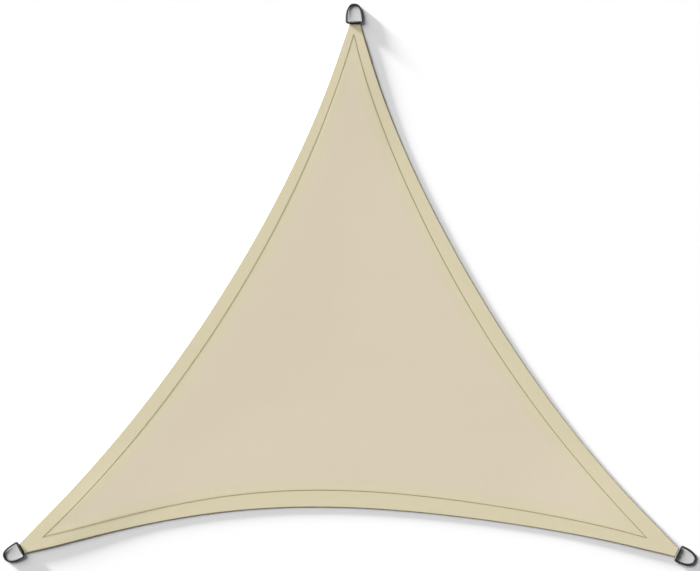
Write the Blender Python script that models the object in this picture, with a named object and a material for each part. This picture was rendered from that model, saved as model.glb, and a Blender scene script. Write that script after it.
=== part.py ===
"""A triangular shade sail with hollowed sides, laid out flat, face up.

Metres, +Z up. The underside of the cloth is the plane z = 0, and the middle of the whole
outline, rings included, is the origin. Run with blender --background --python part.py.
"""

from collections import namedtuple
from math import asin, cos, pi, radians, sin

import bmesh
import bpy
from mathutils import Vector

# cloth
PANEL_THICKNESS = 0.0012
HEM_THICKNESS = 0.0030  # the cloth folded under on itself and sewn flat
CORNER_THICKNESS = 0.0048  # where the hem also wraps the webbing
CORNER_LENGTH = 0.050  # full corner thickness this far along each side
CORNER_FADE = 0.160  # and hem thickness from here on
STITCH_GROOVE = 0.0004  # how deep the thread pulls the cloth in
STITCH_LIP = 0.0016  # half the width of that groove
FOLD_MARGIN = 0.004  # the folded edge lies this far past the stitches
SLOPE_WIDTH = 0.090  # the panel comes down to the ground over this width
SIDE_STEPS = 32
END_CROWDING = 0.6  # 0 spaces the steps along a side evenly, near 1 crowds its ends

# D-rings
WIRE_RADIUS = 0.0032
RING_HALF_WIDTH = 0.0239  # to the middle of the wire
RING_LENGTH = 0.0550  # bar to bow, to the middle of the wire
RING_CORNER = 0.0055  # bend between the bar and the bow
BOW_POWER = 2.5  # 2 is half an ellipse, more is squarer
BOW_STEPS = 32
CORNER_STEPS = 4

# webbing loops
GAP = 0.0003  # left between any two pieces
WEBBING_WIDTH = 0.028
WEBBING_THICKNESS = 0.0012
TAIL_LENGTH = 0.026  # sewn into the corner
LOOP_STEPS = 24

LOOP_INNER_RADIUS = WIRE_RADIUS + GAP
LOOP_OUTER_RADIUS = LOOP_INNER_RADIUS + WEBBING_THICKNESS
BAR_HEIGHT = LOOP_OUTER_RADIUS  # the loop touches the ground under the bar
CLOTH_TO_BAR = LOOP_OUTER_RADIUS + 0.0005  # the cloth ends this short of the bar's middle
TAIL_THICKNESS = 2 * WEBBING_THICKNESS
TAIL_BOTTOM = (CORNER_THICKNESS - TAIL_THICKNESS) / 2

# Plan of the sail. bar: middle of the ring's bar. heading: the way the ring points, in
# degrees from +X. end_width: of the cloth at the ring. stitch_tip: where the stitches meet.
Corner = namedtuple("Corner", "name bar heading end_width stitch_tip")
CORNERS = (
    Corner("top", (0.0152, 0.7963), 92.0, 0.0370, (0.0131, 0.7595)),
    Corner("left", (-1.0000, -0.8041), 209.5, 0.0370, (-0.9293, -0.7660)),
    Corner("right", (0.9988, -0.8166), 334.5, 0.0305, (0.9023, -0.7693)),
)
# One row for each side, in the order of the corners. depth: how far its middle is hollowed.
# skew, fullness and lean bend that hollow: see hollow().
Hollow = namedtuple("Hollow", "depth skew fullness lean")
CUT = (
    Hollow(0.1158, -0.046, 0.108, -0.046),
    Hollow(0.1469, -0.213, -0.065, 0.267),
    Hollow(0.1200, 0.012, 0.172, 0.082),
)
STITCHES = (
    Hollow(0.1146, -0.032, 0.069, 0.011),
    Hollow(0.1418, -0.199, -0.160, 0.300),
    Hollow(0.1129, 0.014, 0.065, 0.145),
)

# Section of the sail, from its face over the edge to its underside. line: what inward is
# measured from; on the slope it is a share of the slope's width. height: see height_of().
Row = namedtuple("Row", "line inward height")
SECTION = (
    Row("slope", 1.0, "panel top"),
    Row("slope", 0.66, "panel top"),
    Row("slope", 0.33, "panel top"),
    Row("stitches", FOLD_MARGIN, "panel top"),
    Row("stitches", STITCH_LIP, "hem top"),
    Row("stitches", 0.0, "groove"),
    Row("stitches", -STITCH_LIP, "hem top"),
    Row("cut", 0.0012, "hem top"),
    Row("cut", 0.0003, "upper round"),
    Row("cut", 0.0, "hem middle"),
    Row("cut", 0.0003, "lower round"),
    Row("cut", 0.0012, "ground"),
    Row("stitches", FOLD_MARGIN - 0.0002, "ground"),
    Row("stitches", FOLD_MARGIN, "panel bottom"),
    Row("slope", 0.33, "panel bottom"),
    Row("slope", 0.66, "panel bottom"),
    Row("slope", 1.0, "panel bottom"),
)
INNER_SCALES = (0.66, 0.33)  # the flat middle, as smaller copies of the innermost row

Finish = namedtuple("Finish", "color roughness metallic")
CLOTH = Finish((0.68, 0.60, 0.47, 1.0), 0.85, 0.0)
STEEL = Finish((0.045, 0.045, 0.048, 1.0), 0.38, 0.9)
WEBBING = Finish((0.030, 0.031, 0.024, 1.0), 0.80, 0.0)


def ease(x):
    """0 at and below 0, 1 at and above 1, smooth between."""
    x = min(max(x, 0.0), 1.0)
    return x * x * (3 - 2 * x)


def clear_scene():
    for obj in list(bpy.data.objects):
        bpy.data.objects.remove(obj)


def make_material(name, finish):
    material = bpy.data.materials.new(name)
    material.use_nodes = True
    shader = material.node_tree.nodes["Principled BSDF"]
    shader.inputs["Base Color"].default_value = finish.color
    shader.inputs["Roughness"].default_value = finish.roughness
    shader.inputs["Metallic"].default_value = finish.metallic
    return material


def add_object(name, data, material):
    obj = bpy.data.objects.new(name, data)
    obj.data.materials.append(material)
    bpy.context.scene.collection.objects.link(obj)
    return obj


def finish_mesh(mesh, name, sharp_degrees):
    """A Blender mesh from a bmesh, with its faces outward and shaded smooth but for sharp edges."""
    bmesh.ops.recalc_face_normals(mesh, faces=mesh.faces)
    data = bpy.data.meshes.new(name)
    mesh.to_mesh(data)
    mesh.free()
    data.shade_smooth()
    data.set_sharp_from_angle(angle=radians(sharp_degrees))
    return data


def step_shares():
    """Shares of the way along a side, closer together near its ends."""
    even = [i / SIDE_STEPS for i in range(SIDE_STEPS + 1)]
    return [u - END_CROWDING * sin(2 * pi * u) / (2 * pi) for u in even]


def hollow(start, end, shape, share):
    """A point of a side that bows inward between its two ends."""
    chord = end - start
    inward = Vector((-chord.y, chord.x)).normalized()
    z = 2 * share - 1
    bend = 1 + shape.skew * z + shape.fullness * z**2 + shape.lean * z**3
    return start + chord * share + inward * shape.depth * 4 * share * (1 - share) * bend


def outward(corner):
    angle = radians(corner.heading)
    return Vector((cos(angle), sin(angle)))


def cloth_ends(corner):
    """The two ends of the cloth's short edge at a ring, anticlockwise round the sail."""
    along = outward(corner)
    across = Vector((-along.y, along.x)) * corner.end_width / 2
    middle = Vector(corner.bar) - along * CLOTH_TO_BAR
    return middle - across, middle + across


def following(i):
    return (i + 1) % len(CORNERS)


def cut_line():
    """The cut outline, side by side, anticlockwise from the top ring."""
    points = []
    for i, shape in enumerate(CUT):
        start = cloth_ends(CORNERS[i])[1]
        end = cloth_ends(CORNERS[following(i)])[0]
        points += [hollow(start, end, shape, share) for share in step_shares()]
    return points


def tips_moved_in(distance):
    """The stitch tips, moved towards the middle as a line this far inside the stitches would be."""
    tips = [Vector(corner.stitch_tip) for corner in CORNERS]
    middle = sum(tips, Vector((0, 0))) / len(tips)
    along = 3.6 * distance - 5 * distance * abs(distance)  # the corners are narrow, then open out
    return [tip + (middle - tip).normalized() * along for tip in tips]


def stitch_line(distance):
    """The row of stitches, moved this far inward."""
    points = []
    tips = [Vector(corner.stitch_tip) for corner in CORNERS]
    moved = tips_moved_in(distance)
    for i, shape in enumerate(STITCHES):
        start, end = tips[i], tips[following(i)]
        chord = end - start
        inward = Vector((-chord.y, chord.x)).normalized()
        middle = hollow(start, end, shape, 0.5) + inward * distance
        start, end = moved[i], moved[following(i)]
        depth = (middle - (start + end) / 2).dot(inward)
        points += [
            hollow(start, end, shape._replace(depth=depth), share) for share in step_shares()
        ]
    return points


def thicknesses():
    """The hem's thickness at each point along a line round the sail."""
    values = []
    for i, shape in enumerate(CUT):
        length = (Vector(CORNERS[following(i)].bar) - Vector(CORNERS[i].bar)).length
        for share in step_shares():
            from_ring = min(share, 1 - share) * length
            fade = ease((from_ring - CORNER_LENGTH) / (CORNER_FADE - CORNER_LENGTH))
            values.append(CORNER_THICKNESS + (HEM_THICKNESS - CORNER_THICKNESS) * fade)
    return values


def height_of(row, thickness):
    """The height above the ground of one point of a section row."""
    step = SLOPE_WIDTH * row.inward if row.line == "slope" else row.inward
    lifted = 1 - ease((step - FOLD_MARGIN) / (SLOPE_WIDTH - FOLD_MARGIN))
    panel_bottom = (thickness - PANEL_THICKNESS) * lifted
    return {
        "hem top": thickness,
        "groove": thickness - STITCH_GROOVE,
        "upper round": thickness * 0.84,
        "hem middle": thickness * 0.5,
        "lower round": thickness * 0.16,
        "ground": 0.0,
        "panel bottom": panel_bottom,
        "panel top": panel_bottom + PANEL_THICKNESS,
    }[row.height]


def plan_of(row, cut, stitches):
    """The plan of one section row: a closed line of as many points as the cut line."""
    if row.line == "slope":
        return stitch_line(SLOPE_WIDTH * row.inward)
    if row.line == "stitches":
        return stitch_line(row.inward)
    return [a + (b - a).normalized() * row.inward for a, b in zip(cut, stitches)]


def ring_of_points(mesh, plan, heights):
    return [mesh.verts.new((p.x, p.y, z)) for p, z in zip(plan, heights)]


def skin(mesh, first, second):
    """Faces between two closed lines of as many points."""
    for i in range(len(first)):
        j = (i + 1) % len(first)
        mesh.faces.new((first[i], first[j], second[j], second[i]))


def close_middle(mesh, outline, height):
    """Smaller and smaller copies of a line, then faces to one middle point."""
    plan = [v.co.xy for v in outline]
    middle = sum(plan, Vector((0, 0))) / len(plan)
    for scale in INNER_SCALES:
        smaller = [middle + (p - middle) * scale for p in plan]
        inner = ring_of_points(mesh, smaller, [height] * len(smaller))
        skin(mesh, outline, inner)
        outline = inner
    centre = mesh.verts.new((middle.x, middle.y, height))
    for i, point in enumerate(outline):
        mesh.faces.new((point, outline[(i + 1) % len(outline)], centre))


def pocket_cutter(corner):
    """The space between the hem's layers that the webbing's tails are sewn into."""
    reach = 0.004  # past the end of the cloth, so that the cut is open
    depth = TAIL_LENGTH + GAP
    mesh = bmesh.new()
    bmesh.ops.create_cube(mesh, size=1)
    bmesh.ops.scale(
        mesh,
        vec=(depth + reach, WEBBING_WIDTH + 2 * GAP, TAIL_THICKNESS + 2 * GAP),
        verts=mesh.verts,
    )
    cutter = bpy.data.objects.new("pocket_" + corner.name, finish_mesh(mesh, "pocket", 30))
    along = outward(corner)
    middle = Vector(corner.bar) - along * (CLOTH_TO_BAR + (depth - reach) / 2)
    cutter.location = (middle.x, middle.y, TAIL_BOTTOM + TAIL_THICKNESS / 2)
    cutter.rotation_euler.z = radians(corner.heading)
    cutter.hide_render = True
    cutter.display_type = "WIRE"
    bpy.context.scene.collection.objects.link(cutter)
    return cutter


def make_sail(material):
    mesh = bmesh.new()
    cut, stitches, thickness = cut_line(), stitch_line(0.0), thicknesses()
    rows = []
    for row in SECTION:
        plan = plan_of(row, cut, stitches)
        rows.append(ring_of_points(mesh, plan, [height_of(row, t) for t in thickness]))
    for first, second in zip(rows, rows[1:]):
        skin(mesh, first, second)
    close_middle(mesh, rows[0], PANEL_THICKNESS)
    close_middle(mesh, rows[-1], 0.0)
    sail = add_object("sail", finish_mesh(mesh, "sail", 40), material)
    for corner in CORNERS:
        pocket = sail.modifiers.new("pocket_" + corner.name, "BOOLEAN")
        pocket.object = pocket_cutter(corner)
    return sail


def ring_path():
    """The middle of a D-ring's wire: +X across the bar's heading, bar on the X axis, bow along +Y."""
    half, corner, length = RING_HALF_WIDTH, RING_CORNER, RING_LENGTH
    points = []
    for i in range(BOW_STEPS + 1):
        angle = pi * i / BOW_STEPS
        side = abs(cos(angle)) ** (2 / BOW_POWER) * (1 if angle < pi / 2 else -1)
        points.append((half * side, corner + (length - corner) * sin(angle) ** (2 / BOW_POWER)))
    # Each bend leaves out the point that it shares with the bow.
    steps = range(CORNER_STEPS + 1)
    for centre, first, own in ((corner - half, pi, steps[1:]), (half - corner, 1.5 * pi, steps[:-1])):
        for i in own:
            angle = first + pi / 2 * i / CORNER_STEPS
            points.append((centre + corner * cos(angle), corner + corner * sin(angle)))
    return points


def make_ring(corner, material):
    """A bent wire D, hung in its loop by the bar, its bow resting on the ground."""
    curve = bpy.data.curves.new("ring", "CURVE")
    curve.dimensions = "3D"
    curve.bevel_depth = WIRE_RADIUS
    curve.bevel_resolution = 3
    path = ring_path()
    spline = curve.splines.new("POLY")
    spline.points.add(len(path) - 1)
    for point, (x, y) in zip(spline.points, path):
        point.co = (x, y, 0, 1)
    spline.use_cyclic_u = True
    ring = add_object("ring_" + corner.name, curve, material)
    ring.location = (*corner.bar, BAR_HEIGHT)
    lean = asin((BAR_HEIGHT - WIRE_RADIUS) / RING_LENGTH)
    ring.rotation_euler = (-lean, 0, radians(corner.heading - 90))
    return ring


def make_loop(corner, material):
    """Webbing round the bar with both tails together, as a band of one section along the bar."""
    mesh = bmesh.new()
    low, high = TAIL_BOTTOM - BAR_HEIGHT, TAIL_BOTTOM + TAIL_THICKNESS - BAR_HEIGHT
    start, end = (pi + asin(-h / LOOP_OUTER_RADIUS) for h in (low, high))
    turn = 2 * pi - (start - end)
    tail = -CLOTH_TO_BAR - TAIL_LENGTH
    inner, outer = [], []
    for i in range(LOOP_STEPS + 1):
        angle = start + turn * i / LOOP_STEPS
        outer.append((LOOP_OUTER_RADIUS * cos(angle), LOOP_OUTER_RADIUS * sin(angle)))
        inner.append((LOOP_INNER_RADIUS * cos(angle), LOOP_INNER_RADIUS * sin(angle)))
    outer += [(tail, high), (tail, low)]
    middle = start - (start - end) / 2
    for share in (-0.1, 0.1):
        angle = middle + (start - end) * share
        inner.append((LOOP_INNER_RADIUS * cos(angle), LOOP_INNER_RADIUS * sin(angle)))
    half = WEBBING_WIDTH / 2
    sides = []
    for y in (-half, half):
        rings = [[mesh.verts.new((x, y, z)) for x, z in line] for line in (inner, outer)]
        skin(mesh, *rings)
        sides.append(rings)
    for first, second in zip(*sides):
        skin(mesh, first, second)
    loop = add_object("loop_" + corner.name, finish_mesh(mesh, "loop", 40), material)
    loop.location = (*corner.bar, BAR_HEIGHT)
    loop.rotation_euler.z = radians(corner.heading)
    return loop


def main():
    clear_scene()
    cloth = make_material("shade_cloth", CLOTH)
    steel = make_material("dark_steel", STEEL)
    webbing = make_material("webbing", WEBBING)
    make_sail(cloth)
    for corner in CORNERS:
        make_loop(corner, webbing)
        make_ring(corner, steel)


main()
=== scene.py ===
import math

import bmesh
import bpy
from mathutils import Matrix, Vector, kdtree


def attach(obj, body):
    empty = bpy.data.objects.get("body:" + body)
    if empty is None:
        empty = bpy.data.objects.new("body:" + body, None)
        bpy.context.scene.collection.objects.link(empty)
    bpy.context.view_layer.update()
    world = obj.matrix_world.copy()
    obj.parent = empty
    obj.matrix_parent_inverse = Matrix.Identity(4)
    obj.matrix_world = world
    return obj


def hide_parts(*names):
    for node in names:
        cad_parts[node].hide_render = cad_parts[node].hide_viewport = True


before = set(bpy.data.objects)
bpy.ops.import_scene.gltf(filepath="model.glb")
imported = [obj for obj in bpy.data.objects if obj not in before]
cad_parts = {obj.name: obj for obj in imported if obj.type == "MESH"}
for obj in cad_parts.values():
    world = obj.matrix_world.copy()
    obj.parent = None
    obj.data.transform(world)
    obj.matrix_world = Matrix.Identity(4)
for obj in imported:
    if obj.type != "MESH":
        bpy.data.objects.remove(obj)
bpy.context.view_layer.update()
print("frame:", sorted(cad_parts))


# the sail's plan in metres: three corners anticlockwise, and the side that follows each
corners = [
    # bar: middle of the ring's bar. heading: the way the ring points, in degrees from +X
    {"name": "top", "bar": (0.0152, 0.7963), "heading": 92.0, "endWidth": 0.0370,
     "tip": (0.0131, 0.7595)},
    {"name": "left", "bar": (-1.0000, -0.8041), "heading": 209.5, "endWidth": 0.0370,
     "tip": (-0.9293, -0.7660)},
    {"name": "right", "bar": (0.9988, -0.8166), "heading": 334.5, "endWidth": 0.0305,
     "tip": (0.9023, -0.7693)},
]
cutSides = [
    # depth: how far the middle of the side is hollowed. The others bend that hollow
    {"depth": 0.1158, "skew": -0.046, "fullness": 0.108, "lean": -0.046},
    {"depth": 0.1469, "skew": -0.213, "fullness": -0.065, "lean": 0.267},
    {"depth": 0.1200, "skew": 0.012, "fullness": 0.172, "lean": 0.082},
]
stitchSides = [
    {"depth": 0.1146, "skew": -0.032, "fullness": 0.069, "lean": 0.011},
    {"depth": 0.1418, "skew": -0.199, "fullness": -0.160, "lean": 0.300},
    {"depth": 0.1129, "skew": 0.014, "fullness": 0.065, "lean": 0.145},
]
clothToBar = 0.0052  # the cloth ends this short of the bar's middle
tipRate = 3.6  # a line further inward has its tips this many times as far in
tipRateLoss = 5.0  # and less so further on, where the corners open out
tiny = 1e-6  # less than any real difference between two shares or weights


def ease(x):  # 0 below 0, 1 above 1, smooth between
    x = min(max(x, 0.0), 1.0)
    return x * x * (3 - 2 * x)


def following(i):
    return (i + 1) % len(corners)


def leftOf(direction):
    return Vector((-direction.y, direction.x))


def headingOf(corner):
    angle = math.radians(corner["heading"])
    return Vector((math.cos(angle), math.sin(angle)))


def bend(side, z):
    return 1 + side["skew"] * z + side["fullness"] * z**2 + side["lean"] * z**3


def hollowPoint(start, end, side, share):  # a point of a side that bows inward
    chord = end - start
    depth = side["depth"] * 4 * share * (1 - share) * bend(side, 2 * share - 1)
    return start + chord * share + leftOf(chord).normalized() * depth


def cutPoint(i, share):  # on the outer edge of the cloth
    a, b = corners[i], corners[following(i)]
    start = Vector(a["bar"]) - headingOf(a) * clothToBar + leftOf(headingOf(a)) * a["endWidth"] / 2
    end = Vector(b["bar"]) - headingOf(b) * clothToBar - leftOf(headingOf(b)) * b["endWidth"] / 2
    return hollowPoint(start, end, cutSides[i], share)


def stitchPlan(inward):  # tips and sides of the row of stitches, moved this far inward
    tips = [Vector(c["tip"]) for c in corners]
    middle = sum(tips, Vector((0, 0))) / len(tips)
    along = tipRate * inward - tipRateLoss * inward * abs(inward)
    moved = [tip + (middle - tip).normalized() * along for tip in tips]
    sides = []
    for i, side in enumerate(stitchSides):
        a, b = tips[i], tips[following(i)]
        across = leftOf(b - a).normalized()
        deepest = hollowPoint(a, b, side, 0.5) + across * inward
        depth = (deepest - (moved[i] + moved[following(i)]) / 2).dot(across)
        sides.append({**side, "depth": depth})
    return moved, sides


def stitchPoint(i, share, inward, tipGap):  # tipGap keeps the two sides apart where they meet
    tips, sides = stitchPlan(inward)
    start = tips[i] + leftOf(headingOf(corners[i])) * tipGap / 2
    end = tips[following(i)] - leftOf(headingOf(corners[following(i)])) * tipGap / 2
    return hollowPoint(start, end, sides[i], share)


def addSockets(group, inOut, sockets):
    for name, kind in sockets:
        group.interface.new_socket(name=name, in_out=inOut, socket_type="NodeSocket" + kind)


def mathNode(tree, operation, *values):  # values are sockets or numbers
    node = tree.nodes.new("ShaderNodeMath")
    node.operation = operation
    for socket, value in zip(node.inputs, values):
        if isinstance(value, (int, float)):
            socket.default_value = value
        else:
            tree.links.new(value, socket)
    return node.outputs[0]


yarnShape = {
    "roundness": 0.6,  # less makes each row flatter on top
    "stepDepth": 0.25,  # share of the height that the steps along a row move up and down
    "gapShadeSlope": 2.2,  # how soon the painted shade between two rows fades as the yarn rises
}


def makeYarnGroup():
    # rows of yarn with steps along them: slant makes the V of a knit, shift sets every other
    # row half a step on as in a weave
    group = bpy.data.node_groups.new("yarnRows", "ShaderNodeTree")
    addSockets(group, "INPUT", [("Vector", "Vector"), ("Row Width", "Float"), ("Step Length", "Float"),
                                ("Slant", "Float"), ("Shift", "Float")])
    addSockets(group, "OUTPUT", [("Height", "Float"), ("Gap Shade", "Float")])
    source = group.nodes.new("NodeGroupInput").outputs
    split = group.nodes.new("ShaderNodeSeparateXYZ")
    group.links.new(source["Vector"], split.inputs[0])
    across = mathNode(group, "DIVIDE", split.outputs["X"], source["Row Width"])
    along = mathNode(group, "DIVIDE", split.outputs["Y"], source["Step Length"])
    row = mathNode(group, "FLOOR", across)
    offset = mathNode(group, "SUBTRACT", mathNode(group, "SUBTRACT", across, row), 0.5)
    arch = mathNode(group, "COSINE", mathNode(group, "MULTIPLY", offset, math.pi))
    roundness = mathNode(group, "POWER", arch, yarnShape["roundness"])
    lean = mathNode(group, "MULTIPLY", mathNode(group, "ABSOLUTE", offset), source["Slant"])
    odd = mathNode(group, "FRACT", mathNode(group, "MULTIPLY", row, 0.5))
    shifted = mathNode(group, "MULTIPLY", odd, source["Shift"])
    phase = mathNode(group, "ADD", mathNode(group, "SUBTRACT", along, lean), shifted)
    wave = mathNode(group, "COSINE", mathNode(group, "MULTIPLY", phase, 2 * math.pi))
    step = mathNode(group, "MULTIPLY_ADD", wave, yarnShape["stepDepth"], 1 - yarnShape["stepDepth"])
    height = mathNode(group, "MULTIPLY", roundness, step)
    # mask for painted shade: 1 in the low gaps between rows, nothing where the yarn is high
    gapShade = mathNode(group, "SUBTRACT", 1.0, mathNode(group, "MULTIPLY", height, yarnShape["gapShadeSlope"]))
    gapShadeMask = mathNode(group, "MAXIMUM", gapShade, 0.0)
    target = group.nodes.new("NodeGroupOutput").inputs
    group.links.new(height, target["Height"])
    group.links.new(gapShadeMask, target["Gap Shade"])
    return group


toneNoise = {
    "detail": 3.0,
    "roughness": 0.55,
}


def makeToneGroup():
    # soft uneven tone around 1, as of yarn and finish
    group = bpy.data.node_groups.new("unevenTone", "ShaderNodeTree")
    addSockets(group, "INPUT", [("Vector", "Vector"), ("Scale", "Float"), ("Amount", "Float")])
    addSockets(group, "OUTPUT", [("Tone", "Float"), ("Grain", "Float")])
    source = group.nodes.new("NodeGroupInput").outputs
    noise = group.nodes.new("ShaderNodeTexNoise")
    noise.inputs["Detail"].default_value = toneNoise["detail"]
    noise.inputs["Roughness"].default_value = toneNoise["roughness"]
    group.links.new(source["Vector"], noise.inputs["Vector"])
    group.links.new(source["Scale"], noise.inputs["Scale"])
    centred = mathNode(group, "SUBTRACT", noise.outputs["Fac"], 0.5)
    tone = mathNode(group, "MULTIPLY_ADD", centred, source["Amount"], 1.0)
    target = group.nodes.new("NodeGroupOutput").inputs
    group.links.new(tone, target["Tone"])
    group.links.new(noise.outputs["Fac"], target["Grain"])
    return group


yarnGroup = makeYarnGroup()
toneGroup = makeToneGroup()


def newMaterial(name):
    material = bpy.data.materials.new(name)
    material.use_nodes = True
    return material, material.node_tree, material.node_tree.nodes["Principled BSDF"]


def placeGroup(tree, group, vector, **values):
    node = tree.nodes.new("ShaderNodeGroup")
    node.node_tree = group
    tree.links.new(vector, node.inputs["Vector"])
    for name, value in values.items():
        node.inputs[name].default_value = value
    return node.outputs


def objectVector(tree):  # the piece's own place, in metres
    return tree.nodes.new("ShaderNodeTexCoord").outputs["Object"]


def stretched(tree, vector, scale):
    mapping = tree.nodes.new("ShaderNodeMapping")
    mapping.inputs["Scale"].default_value = scale
    tree.links.new(vector, mapping.inputs["Vector"])
    return mapping.outputs[0]


def attributeOf(tree, name, output="Fac"):
    node = tree.nodes.new("ShaderNodeAttribute")
    node.attribute_name = name
    return node.outputs[output]


def mixColor(tree, blend, factor, a, b):  # factor, a and b are sockets or fixed values
    # sockets 6 and 7 are the two colours going in, and 2 is the one coming out
    node = tree.nodes.new("ShaderNodeMix")
    node.data_type = "RGBA"
    node.blend_type = blend
    for socket, value in ((node.inputs[0], factor), (node.inputs[6], a), (node.inputs[7], b)):
        if isinstance(value, bpy.types.NodeSocket):
            tree.links.new(value, socket)
        else:
            socket.default_value = value
    return node.outputs[2]


def addBump(tree, shader, height, strength, distance):
    bump = tree.nodes.new("ShaderNodeBump")
    bump.inputs["Strength"].default_value = strength
    bump.inputs["Distance"].default_value = distance
    tree.links.new(height, bump.inputs["Height"])
    tree.links.new(bump.outputs["Normal"], shader.inputs["Normal"])


shadeCloth = {
    "panelColor": (0.6255, 0.5475, 0.4290, 1.0),
    "hemColor": (0.617, 0.558, 0.386, 1.0),  # the doubled cloth lets less of the white ground through
    "grooveShadeColor": (0.36, 0.30, 0.17, 1.0),  # darker where the thread draws the layers together: the cloth lies denser there, with painted shade in the groove
    # painted shade in the gaps between rows of yarn
    "gapShadeColor": (0.34, 0.29, 0.20, 1.0),
    "gapShadeDepth": 0.5,
    "rowWidth": 0.0018,
    "stepLength": 0.0015,
    "slant": 1.2,
    "cloudScale": 4.0,  # soft uneven tone over the whole cloth
    "cloudAmount": 0.015,
    "streakStretch": (420, 9, 1),  # fine uneven tone along the rows
    "streakAmount": 0.05,
    "roughness": 0.86,
    "sheen": 0.08,
    "specular": 0.25,
    "bumpStrength": 0.35,
    "bumpDistance": 0.0002,
}


def makeShadeCloth():
    material, tree, shader = newMaterial("shadeCloth")
    # the place on the flat cut, so the knit goes round the fold
    vector = attributeOf(tree, "clothPlace", "Vector")
    yarn = placeGroup(tree, yarnGroup, vector, **{
        "Row Width": shadeCloth["rowWidth"], "Step Length": shadeCloth["stepLength"],
        "Slant": shadeCloth["slant"], "Shift": 0.0})
    clouds = placeGroup(tree, toneGroup, vector, Scale=shadeCloth["cloudScale"],
                        Amount=shadeCloth["cloudAmount"])
    rows = stretched(tree, vector, shadeCloth["streakStretch"])
    streaks = placeGroup(tree, toneGroup, rows, Scale=1.0, Amount=shadeCloth["streakAmount"])
    color = mixColor(tree, "MIX", attributeOf(tree, "hem"), shadeCloth["panelColor"], shadeCloth["hemColor"])
    # painted shade along the stitch groove, over the denser cloth there
    color = mixColor(tree, "MIX", attributeOf(tree, "crease"), color, shadeCloth["grooveShadeColor"])
    # painted shade darkens the low gaps between rows of yarn
    opened = mathNode(tree, "MULTIPLY", yarn["Gap Shade"], shadeCloth["gapShadeDepth"])
    color = mixColor(tree, "MIX", opened, color, shadeCloth["gapShadeColor"])
    tone = mathNode(tree, "MULTIPLY", clouds["Tone"], streaks["Tone"])
    color = mixColor(tree, "MULTIPLY", 1.0, color, tone)
    tree.links.new(color, shader.inputs["Base Color"])
    shader.inputs["Roughness"].default_value = shadeCloth["roughness"]
    shader.inputs["Sheen Weight"].default_value = shadeCloth["sheen"]
    shader.inputs["Specular IOR Level"].default_value = shadeCloth["specular"]
    addBump(tree, shader, yarn["Height"], shadeCloth["bumpStrength"], shadeCloth["bumpDistance"])
    return material


sewingThread = {
    "color": (0.185, 0.143, 0.046, 1.0),
    "roughness": 0.6,
    "unevenScale": 900.0,
    "unevenAmount": 0.5,
}


def makeThread():
    material, tree, shader = newMaterial("sewingThread")
    tone = placeGroup(tree, toneGroup, objectVector(tree), Scale=sewingThread["unevenScale"],
                      Amount=sewingThread["unevenAmount"])
    color = mixColor(tree, "MULTIPLY", 1.0, sewingThread["color"], tone["Tone"])
    tree.links.new(color, shader.inputs["Base Color"])
    shader.inputs["Roughness"].default_value = sewingThread["roughness"]
    return material


cornerWebbing = {
    "yarnColor": (0.030, 0.031, 0.024, 1.0),
    # painted shade in the gaps between rows of yarn
    "gapShadeColor": (0.006, 0.006, 0.005, 1.0),
    "rowWidth": 0.0012,
    "stepLength": 0.0019,
    "unevenScale": 700.0,
    "unevenAmount": 0.6,
    "roughness": 0.75,
    "sheen": 0.1,
    "bumpStrength": 0.6,
    "bumpDistance": 0.0004,
}


def makeWebbing():
    material, tree, shader = newMaterial("cornerWebbing")
    place = tree.nodes.new("ShaderNodeCombineXYZ")
    tree.links.new(attributeOf(tree, "across"), place.inputs["X"])
    tree.links.new(attributeOf(tree, "along"), place.inputs["Y"])
    yarn = placeGroup(tree, yarnGroup, place.outputs[0], **{
        "Row Width": cornerWebbing["rowWidth"], "Step Length": cornerWebbing["stepLength"],
        "Slant": 0.0, "Shift": 1.0})
    tone = placeGroup(tree, toneGroup, place.outputs[0], Scale=cornerWebbing["unevenScale"],
                      Amount=cornerWebbing["unevenAmount"])
    # painted shade darkens the low gaps between rows of yarn
    color = mixColor(tree, "MIX", yarn["Gap Shade"], cornerWebbing["yarnColor"], cornerWebbing["gapShadeColor"])
    color = mixColor(tree, "MULTIPLY", 1.0, color, tone["Tone"])
    tree.links.new(color, shader.inputs["Base Color"])
    shader.inputs["Roughness"].default_value = cornerWebbing["roughness"]
    shader.inputs["Sheen Weight"].default_value = cornerWebbing["sheen"]
    addBump(tree, shader, yarn["Height"], cornerWebbing["bumpStrength"], cornerWebbing["bumpDistance"])
    return material


darkSteel = {
    "color": (0.046, 0.046, 0.049, 1.0),
    "fineScale": 420.0,  # grain of the finish
    "fineAmount": 0.25,
    "broadScale": 55.0,  # duller and shinier stretches of wire
    "broadAmount": 0.4,
    "roughness": 0.48,
    "metallic": 0.4,
    "bumpStrength": 0.12,
    "bumpDistance": 0.0002,
}


def makeDarkSteel():
    material, tree, shader = newMaterial("darkSteel")
    vector = objectVector(tree)
    fine = placeGroup(tree, toneGroup, vector, Scale=darkSteel["fineScale"], Amount=darkSteel["fineAmount"])
    broad = placeGroup(tree, toneGroup, vector, Scale=darkSteel["broadScale"],
                       Amount=darkSteel["broadAmount"])
    color = mixColor(tree, "MULTIPLY", 1.0, darkSteel["color"], broad["Tone"])
    tree.links.new(color, shader.inputs["Base Color"])
    uneven = mathNode(tree, "MULTIPLY", fine["Tone"], broad["Tone"])
    tree.links.new(mathNode(tree, "MULTIPLY", uneven, darkSteel["roughness"]), shader.inputs["Roughness"])
    shader.inputs["Metallic"].default_value = darkSteel["metallic"]
    addBump(tree, shader, fine["Grain"], darkSteel["bumpStrength"], darkSteel["bumpDistance"])
    return material


clothMaterial = makeShadeCloth()
threadMaterial = makeThread()
webbingMaterial = makeWebbing()
steelMaterial = makeDarkSteel()
print("materials made")


def finishPiece(name, shape, material, sharpAngle):
    mesh = bpy.data.meshes.new(name)
    shape.to_mesh(mesh)
    shape.free()
    mesh.shade_smooth()
    mesh.set_sharp_from_angle(angle=math.radians(sharpAngle))
    mesh.materials.append(material)
    piece = bpy.data.objects.new(name, mesh)
    bpy.context.scene.collection.objects.link(piece)
    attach(piece, "root")
    return piece


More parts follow.
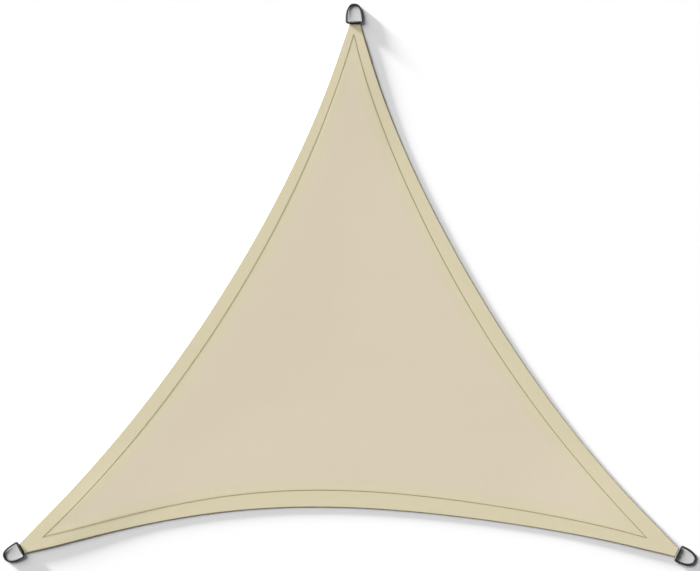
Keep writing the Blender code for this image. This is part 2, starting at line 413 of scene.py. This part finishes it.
# one sheet of cloth with its hem folded under, given a thickness at the end
sail = {
    "layer": 0.0010,  # one layer of cloth
    "hem": 0.0030,  # two layers and the air between them
    "corner": 0.0048,  # two layers and the webbing between them
    "cornerLength": 0.050,  # as thick as that this far along each side
    "cornerFade": 0.420,  # and down to the hem's thickness here
    "panelTop": 0.0022,  # above the ground, in the middle of the sail
    "slope": 0.380,  # the panel comes down from the hem to that height over this width
    "settling": 120,  # rounds of smoothing that leave the panel without creases
    "groove": 0.00015,  # the thread draws the layers together
    "underGroove": 0.0005,  # deeper, as the thread lies in it and the hem on the ground
    "lip": 0.0020,  # half the width of that groove
    "foldMargin": 0.0040,  # the folded edge lies this far past the stitches
    "tipGap": 0.0012,
    "toneFade": 0.080,  # the hem's tone fades into the panel over this width
    "steps": 160,  # faces along a side of the panel
    "blunt": 0.25,  # of one face is cut off at each tip
    "noseSteps": 8,
    "support": 0.0015,  # a line of faces this wide keeps the hem flat beside its rounded edge
    "edgeOut": 0.0027,  # the rounded edge catches the light, so it lies this far past the cut line
    "edgeStart": 0.05,  # share of a side over which that builds up from each ring
    "headingStep": 0.001,  # share of a side over which its heading at a point is taken
    "sharpAngle": 50,
}


def hemThickness(i, share):
    length = (Vector(corners[following(i)]["bar"]) - Vector(corners[i]["bar"])).length
    fromRing = min(share, 1 - share) * length
    fade = ease((fromRing - sail["cornerLength"]) / (sail["cornerFade"] - sail["cornerLength"]))
    return sail["corner"] + (sail["hem"] - sail["corner"]) * fade


def bowedPoint(weights, tips, sides):  # inside the outline, by its weight towards each tip
    point = sum((tip * weight for tip, weight in zip(tips, weights)), Vector((0, 0)))
    for i, side in enumerate(sides):
        a, b = weights[i], weights[following(i)]
        across = leftOf(tips[following(i)] - tips[i]).normalized()
        point += across * side["depth"] * 4 * a * b * bend(side, b - a)
    return point


def hemRows():  # section of the hem from the stitches over the edge and back: kind, distance, height
    lip, steps = sail["lip"], sail["noseSteps"]
    face = [("stitch", lip, "top"), ("stitch", 0.0, "groove")]
    face += [("stitch", -lip, "top"), ("stitch", -2 * lip, "top")]
    nose = [("nose", 180 * i / steps, None) for i in range(steps + 1)]
    under = [("stitch", -2 * lip, "ground"), ("stitch", -lip, "ground"), ("stitch", 0.0, "under groove")]
    under += [("stitch", lip, "ground"), ("stitch", sail["foldMargin"], "ground")]
    return face + [("edge", sail["support"], "top")] + nose + [("edge", sail["support"], "ground")] + under


def hemPoint(row, i, share):  # its place, and its place on the flat cut before the hem is folded
    kind, value, height = row
    thickness = hemThickness(i, share)
    step = sail["headingStep"]
    ahead = (cutPoint(i, share + step) - cutPoint(i, share - step)).normalized()
    inward = leftOf(ahead)
    cut = cutPoint(i, share) - inward * sail["edgeOut"] * ease(min(share, 1 - share) / sail["edgeStart"])
    if kind == "nose":
        turn = math.radians(value)
        place = cut + inward * thickness / 2 * (1 - math.sin(turn))
        flat = cut + inward * thickness / 2 * (1 - turn)
        return Vector((*place, thickness / 2 * (1 + math.cos(turn)))), Vector((*flat, 0))
    if kind == "edge":
        place = cut + inward * (thickness / 2 + value)
    elif value > 0:
        place = stitchPoint(i, share, value, sail["tipGap"])
    else:
        stitch = stitchPoint(i, share, 0.0, sail["tipGap"])
        place = stitch + (stitch - cut).normalized() * value
    heights = {
        "top": thickness,
        "groove": thickness - sail["groove"],
        "ground": 0.0,
        "under groove": sail["underGroove"],
    }
    flat = place
    if height in ("ground", "under groove"):
        beyond = (place - cut).dot(inward) + thickness * (math.pi / 2 - 1)
        flat = cut + ahead * (place - cut).dot(ahead) - inward * beyond
    return Vector((*place, heights[height])), Vector((*flat, 0))


def makeSail():
    sheet = bmesh.new()
    # a vertex's place stands for its weights towards the three tips until the panel is laid out
    tips = [sheet.verts.new(weights) for weights in ((1, 0, 0), (0, 1, 0), (0, 0, 1))]
    sheet.faces.new(tips)
    bmesh.ops.subdivide_edges(sheet, edges=sheet.edges[:], cuts=sail["steps"] - 1, use_grid_fill=True)
    tips = [v for v in sheet.verts if max(v.co) > 1 - tiny]
    bmesh.ops.bevel(sheet, geom=tips, affect="VERTICES", offset=sail["blunt"] * math.sqrt(2) / sail["steps"],
                    segments=1, profile=0.5, material=-1)
    sideLayer = sheet.verts.layers.int.new("side")
    shareLayer = sheet.verts.layers.float.new("share")
    rowLayer = sheet.verts.layers.int.new("row")
    hemLayer = sheet.verts.layers.float.new("hem")
    # the crease attribute is the mask of painted shade in the stitch groove
    grooveShadeLayer = sheet.verts.layers.float.new("crease")
    placeLayer = sheet.verts.layers.float_vector.new("clothPlace")
    edge = [v for v in sheet.verts if v.is_boundary]
    cutOff = min(min(w for w in v.co if w > tiny) for v in edge)
    for v in edge:
        i = following(min(range(3), key=lambda k: v.co[k]))  # the weight that is nothing is across the side
        v[sideLayer] = i
        v[shareLayer] = min(max((v.co[following(i)] - cutOff) / (1 - 2 * cutOff), 0.0), 1.0)
    # the panel, inside the stitches
    innerTips, innerSides = stitchPlan(2 * sail["lip"])
    nearEdge = kdtree.KDTree(len(edge))
    heights = []
    for i, v in enumerate(edge):
        heights.append(hemThickness(v[sideLayer], v[shareLayer]))
        nearEdge.insert((*bowedPoint(v.co, innerTips, innerSides), 0), i)
    nearEdge.balance()
    for v in sheet.verts:
        place = bowedPoint(v.co, innerTips, innerSides)
        found, index, distance = nearEdge.find((*place, 0))
        top = heights[index]
        v.co = (*place, top - (top - sail["panelTop"]) * ease(distance / sail["slope"]))
        v[placeLayer] = (*place, 0)
        v[hemLayer] = max(1 - distance / sail["toneFade"], 0.0) ** 2
    inside = [v for v in sheet.verts if not v.is_boundary]
    for _ in range(sail["settling"]):
        bmesh.ops.smooth_vert(sheet, verts=inside, factor=0.5, use_axis_x=False, use_axis_y=False,
                              use_axis_z=True)
    # the hem, row by row from the panel's edge
    edges = [e for e in sheet.edges if e.is_boundary]
    rows = hemRows()
    for number, row in enumerate(rows, 1):
        made = bmesh.ops.extrude_edge_only(sheet, edges=edges)["geom"]
        edges = [e for e in made if isinstance(e, bmesh.types.BMEdge)]
        for v in (v for v in made if isinstance(v, bmesh.types.BMVert)):
            v.co, v[placeLayer] = hemPoint(row, v[sideLayer], v[shareLayer])
            v[rowLayer] = number
            v[hemLayer] = 1.0
            # 1 in the stitch groove, where the painted shade lies
            v[grooveShadeLayer] = float(row[1] == 0 and row[0] == "stitch")
    # at the rings the two layers stay open for the webbing
    noses = [number for number, row in enumerate(rows, 1) if row[0] == "nose"]
    opened = []
    for face in sheet.faces:
        numbers = [v[rowLayer] for v in face.verts]
        shares = [v[shareLayer] for v in face.verts]
        onNose = min(numbers) >= noses[0] and max(numbers) <= noses[-1]
        if onNose and min(shares) < tiny and max(shares) > 1 - tiny:
            opened.append(face)
    bmesh.ops.delete(sheet, geom=opened, context="FACES")
    sheet.normal_update()
    bmesh.ops.solidify(sheet, geom=sheet.faces[:], thickness=sail["layer"])
    return finishPiece("sailCloth", sheet, clothMaterial, sail["sharpAngle"])


sailCloth = makeSail()
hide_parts("sail")
print("sail:", len(sailCloth.data.polygons), "faces")


# bent wire: a straight bar and a bow
ring = {
    "wireRadius": 0.0032,
    "halfWidth": 0.0239,  # to the middle of the wire
    "length": 0.0550,  # bar to bow, to the middle of the wire
    "cornerRadius": 0.0055,
    "bowPower": 2.5,  # 2 is half an ellipse, more is squarer
    "bowSteps": 96,
    "cornerSteps": 10,
    "barHeight": 0.0047,
    "wireSides": 20,
    "sharpAngle": 60,
}


def ringPath():  # the bar on the X axis, the bow along +Y
    half, radius, power = ring["halfWidth"], ring["cornerRadius"], 2 / ring["bowPower"]
    points = []
    for i in range(ring["bowSteps"] + 1):
        angle = math.pi * i / ring["bowSteps"]
        side = math.copysign(abs(math.cos(angle)) ** power, math.pi / 2 - angle)
        reach = radius + (ring["length"] - radius) * math.sin(angle) ** power
        points.append(Vector((half * side, reach, 0)))
    steps = range(ring["cornerSteps"] + 1)
    for x, first, own in ((radius - half, math.pi, steps[1:]), (half - radius, 1.5 * math.pi, steps[:-1])):
        for i in own:
            angle = first + math.pi / 2 * i / ring["cornerSteps"]
            points.append(Vector((x + radius * math.cos(angle), radius + radius * math.sin(angle), 0)))
    return points


def atCorner(corner, lean=0.0):  # turns a piece made along +Y to the corner's heading
    place = Matrix.Translation((*corner["bar"], ring["barHeight"]))
    turn = Matrix.Rotation(math.radians(corner["heading"] - 90), 4, "Z")
    return place @ turn @ Matrix.Rotation(-lean, 4, "X")


def makeRing(corner):
    path = ringPath()
    wire = bmesh.new()
    stations = []
    for i, point in enumerate(path):
        ahead = (path[(i + 1) % len(path)] - path[i - 1]).normalized()
        side = Vector((ahead.y, -ahead.x, 0))
        turned = Matrix((side, Vector((0, 0, 1)), ahead)).transposed().to_4x4()
        stations.append(Matrix.Translation(point) @ turned)
    circle = bmesh.ops.create_circle(wire, segments=ring["wireSides"], radius=ring["wireRadius"],
                                     matrix=stations[0])
    first = edges = list({e for v in circle["verts"] for e in v.link_edges})
    for before, after in zip(stations, stations[1:]):
        made = bmesh.ops.extrude_edge_only(wire, edges=edges)["geom"]
        edges = [e for e in made if isinstance(e, bmesh.types.BMEdge)]
        moved = [v for v in made if isinstance(v, bmesh.types.BMVert)]
        bmesh.ops.transform(wire, matrix=after @ before.inverted(), verts=moved)
    bmesh.ops.bridge_loops(wire, edges=first + edges)
    bmesh.ops.recalc_face_normals(wire, faces=wire.faces)
    # the bow rests on the ground
    lean = math.asin((ring["barHeight"] - ring["wireRadius"]) / ring["length"])
    bmesh.ops.transform(wire, matrix=atCorner(corner, lean), verts=wire.verts)
    piece = finishPiece("wireRing." + corner["name"], wire, steelMaterial, ring["sharpAngle"])
    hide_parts("ring_" + corner["name"])
    return piece


rings = [makeRing(corner) for corner in corners]
print("rings:", len(rings))


# webbing round each bar, its tails between the layers of the corner
strap = {
    "width": 0.028,
    "thickness": 0.0012,
    "innerRadius": 0.0035,
    "tailBottom": 0.0012,
    "tailLength": 0.026,
    "roundSteps": 36,
    "crease": 0.0006,  # size of the bends between the turn round the bar and the tails
    "creaseSteps": 5,
    "acrossSteps": 14,
    "selvage": 0.00035,  # rounding of the strap's edges
    "selvageAngle": 70,  # edges that turn by more degrees than this are rounded
    "sharpAngle": 45,
}


def softCorner(start, corner, end, steps):  # points of a curve that cuts a corner
    points = []
    for i in range(steps + 1):
        t = i / steps
        points.append(start * (1 - t) ** 2 + corner * 2 * t * (1 - t) + end * t**2)
    return points


def strapPath():  # the strap's outer face: lower tail, round the bar, upper tail; x along the heading
    radius = strap["innerRadius"] + strap["thickness"]
    low = strap["tailBottom"] - ring["barHeight"]
    high = low + 2 * strap["thickness"]
    tailEnd = -clothToBar - strap["tailLength"]
    crease = strap["crease"]
    lowAngle, highAngle = math.pi + math.asin(-low / radius), 3 * math.pi + math.asin(-high / radius)
    first, last = lowAngle + crease / radius, highAngle - crease / radius
    around = []
    for i in range(strap["roundSteps"] + 1):
        angle = first + (last - first) * i / strap["roundSteps"]
        around.append(Vector((radius * math.cos(angle), radius * math.sin(angle))))
    lowCorner = Vector((radius * math.cos(lowAngle), low))
    highCorner = Vector((radius * math.cos(highAngle), high))
    back = Vector((-crease, 0))
    points = [Vector((tailEnd, low)), Vector((tailEnd / 2, low))]
    points += softCorner(lowCorner + back, lowCorner, around[0], strap["creaseSteps"])
    points += around[1:-1]
    points += softCorner(around[-1], highCorner, highCorner + back, strap["creaseSteps"])
    return points + [Vector((tailEnd / 2, high)), Vector((tailEnd, high))]


def makeStrap(corner):
    path = strapPath()
    band = bmesh.new()
    acrossLayer = band.verts.layers.float.new("across")
    alongLayer = band.verts.layers.float.new("along")
    half = strap["width"] / 2
    line = []
    for i in range(strap["acrossSteps"] + 1):
        side = strap["width"] * i / strap["acrossSteps"] - half
        v = band.verts.new((side, path[0].x, path[0].y))
        v[acrossLayer] = side
        line.append(v)
    edges = [band.edges.new(pair) for pair in zip(line, line[1:])]
    run = 0.0
    for before, after in zip(path, path[1:]):
        run += (after - before).length
        made = bmesh.ops.extrude_edge_only(band, edges=edges)["geom"]
        edges = [e for e in made if isinstance(e, bmesh.types.BMEdge)]
        for v in (v for v in made if isinstance(v, bmesh.types.BMVert)):
            v.co.y, v.co.z = after
            v[alongLayer] = run
    band.normal_update()
    last = edges[0].link_faces[0]  # on the upper tail, whose outer face looks up
    if last.normal.z < 0:
        bmesh.ops.reverse_faces(band, faces=band.faces)
    bmesh.ops.solidify(band, geom=band.faces[:], thickness=strap["thickness"])
    band.normal_update()
    least = math.radians(strap["selvageAngle"])
    selvages = [e for e in band.edges if e.is_manifold and e.calc_face_angle() > least]
    bmesh.ops.bevel(band, geom=selvages, affect="EDGES", offset=strap["selvage"], segments=2, profile=0.5,
                    material=-1)
    bmesh.ops.transform(band, matrix=atCorner(corner), verts=band.verts)
    piece = finishPiece("cornerStrap." + corner["name"], band, webbingMaterial, strap["sharpAngle"])
    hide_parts("loop_" + corner["name"])
    return piece


straps = [makeStrap(corner) for corner in corners]
print("straps:", len(straps))


# one stitch, repeated along each side
stitch = {
    "pitch": 0.0060,
    "length": 0.0057,
    "width": 0.0015,
    "height": 0.0009,
    "roundEnd": 0.0009,
    "sides": 6,
    "rings": 5,  # an odd number leaves the middle of the stitch straight
    "guideSteps": 400,
    "sharpAngle": 180,
}


def stitchGuide(i, heightOf):  # the line that the stitches of a side follow
    steps = stitch["guideSteps"]
    data = bpy.data.curves.new("stitchGuide", "CURVE")
    data.dimensions = "3D"
    data.twist_mode = "Z_UP"
    line = data.splines.new("POLY")
    line.points.add(steps)
    for k, point in enumerate(line.points):
        share = k / steps
        place = stitchPoint(i, share, 0.0, sail["tipGap"])
        point.co = (*place, heightOf(hemThickness(i, share)), 1)
    guide = bpy.data.objects.new("stitchGuide", data)
    bpy.context.scene.collection.objects.link(guide)
    return guide


def makeStitches(name, heightOf):
    one = bmesh.new()
    shape = Matrix.Diagonal((stitch["roundEnd"], stitch["width"] / 2, stitch["height"] / 2, 1))
    lying = shape @ Matrix.Rotation(math.pi / 2, 4, "Y")
    bmesh.ops.create_uvsphere(one, u_segments=stitch["sides"], v_segments=stitch["rings"], radius=1,
                              matrix=lying)
    for v in one.verts:
        v.co.x += stitch["pitch"] / 2 + math.copysign(stitch["length"] / 2 - stitch["roundEnd"], v.co.x)
    single = bpy.data.meshes.new("stitch")
    one.to_mesh(single)
    one.free()
    row = bmesh.new()
    for i in range(len(corners)):
        guide = stitchGuide(i, heightOf)
        run = bpy.data.objects.new("stitchRun", single)
        bpy.context.scene.collection.objects.link(run)
        copies = run.modifiers.new("copies", "ARRAY")
        copies.fit_type = "FIT_CURVE"
        copies.curve = guide
        copies.use_relative_offset = False
        copies.use_constant_offset = True
        copies.constant_offset_displace = (stitch["pitch"], 0, 0)
        follow = run.modifiers.new("follow", "CURVE")
        follow.object = guide
        bpy.context.view_layer.update()
        made = run.evaluated_get(bpy.context.evaluated_depsgraph_get()).to_mesh()
        row.from_mesh(made)
        for used in (run, guide):
            bpy.data.objects.remove(used)
    return finishPiece(name, row, threadMaterial, stitch["sharpAngle"])


topStitches = makeStitches("stitchesTop", lambda thickness: thickness - sail["groove"])
underStitches = makeStitches("stitchesUnder", lambda thickness: sail["underGroove"])
print("stitches:", len(topStitches.data.polygons), "faces on top")


view = {
    "lens": 100,
    "sensor": 36,
    "metresPerPixel": 0.00304,
    "imageSize": (700, 571),
    "originPixel": (349.44, 284.49),  # where the middle of the outline shows in the photograph
    "focusHeight": 0.003,
}


def makeCamera():
    width, height = view["imageSize"]
    x = (width / 2 - view["originPixel"][0]) * view["metresPerPixel"]
    y = (view["originPixel"][1] - height / 2) * view["metresPerPixel"]
    distance = width * view["metresPerPixel"] * view["lens"] / view["sensor"]
    data = bpy.data.cameras.new("camera")
    data.lens = view["lens"]
    data.sensor_width = view["sensor"]
    camera = bpy.data.objects.new("camera", data)
    camera.location = (x, y, view["focusHeight"] + distance)
    bpy.context.scene.collection.objects.link(camera)
    bpy.context.scene.camera = camera


light = {
    "floorColor": (0.90, 0.90, 0.90, 1.0),
    "floorReach": 60,  # metres from its middle to each side
    "backdrop": 1.0,
    "level": 1.11,  # 1 shows a white floor just white
    "from": 141.5,  # degrees from +X, the upper left of the picture
    "fill": 0.10,  # share of the level
}
suns = [
    # height above the floor and width of the source in degrees, and its share of the level
    {"name": "key", "height": 22.0, "spread": 40.0, "share": 0.56},
    {"name": "low", "height": 3.5, "spread": 3.5, "share": 0.34},
]


def makeSun(sun):
    data = bpy.data.lights.new(sun["name"], "SUN")
    up, around = math.radians(sun["height"]), math.radians(light["from"])
    data.energy = sun["share"] * light["level"] * math.pi / math.sin(up)
    data.angle = math.radians(sun["spread"])
    lamp = bpy.data.objects.new(sun["name"], data)
    towards = Vector((math.cos(around) * math.cos(up), math.sin(around) * math.cos(up), math.sin(up)))
    lamp.rotation_euler = towards.to_track_quat("Z", "Y").to_euler()
    bpy.context.scene.collection.objects.link(lamp)


def makeWorld():
    world = bpy.data.worlds.new("studio")
    world.use_nodes = True
    nodes, links = world.node_tree.nodes, world.node_tree.links
    fill = nodes["Background"]
    fill.inputs["Color"].default_value = (1, 1, 1, 1)
    fill.inputs["Strength"].default_value = light["fill"] * light["level"]
    backdrop = nodes.new("ShaderNodeBackground")
    backdrop.inputs["Color"].default_value = (1, 1, 1, 1)
    backdrop.inputs["Strength"].default_value = light["backdrop"]
    seen = nodes.new("ShaderNodeLightPath")
    mix = nodes.new("ShaderNodeMixShader")
    links.new(seen.outputs["Is Camera Ray"], mix.inputs[0])
    links.new(fill.outputs[0], mix.inputs[1])
    links.new(backdrop.outputs[0], mix.inputs[2])
    links.new(mix.outputs[0], nodes["World Output"].inputs["Surface"])
    bpy.context.scene.world = world


def makeFloor():
    plane = bmesh.new()
    bmesh.ops.create_grid(plane, x_segments=1, y_segments=1, size=light["floorReach"])
    mesh = bpy.data.meshes.new("floor")
    plane.to_mesh(mesh)
    plane.free()
    material, tree, shader = newMaterial("paleFloor")
    shader.inputs["Base Color"].default_value = light["floorColor"]
    shader.inputs["Roughness"].default_value = 1.0
    shader.inputs["Specular IOR Level"].default_value = 0.0
    mesh.materials.append(material)
    floor = bpy.data.objects.new("floor", mesh)
    bpy.context.scene.collection.objects.link(floor)


makeCamera()
makeWorld()
for sun in suns:
    makeSun(sun)
makeFloor()
bpy.context.scene.view_settings.view_transform = "Standard"
print("floor, light and camera made")
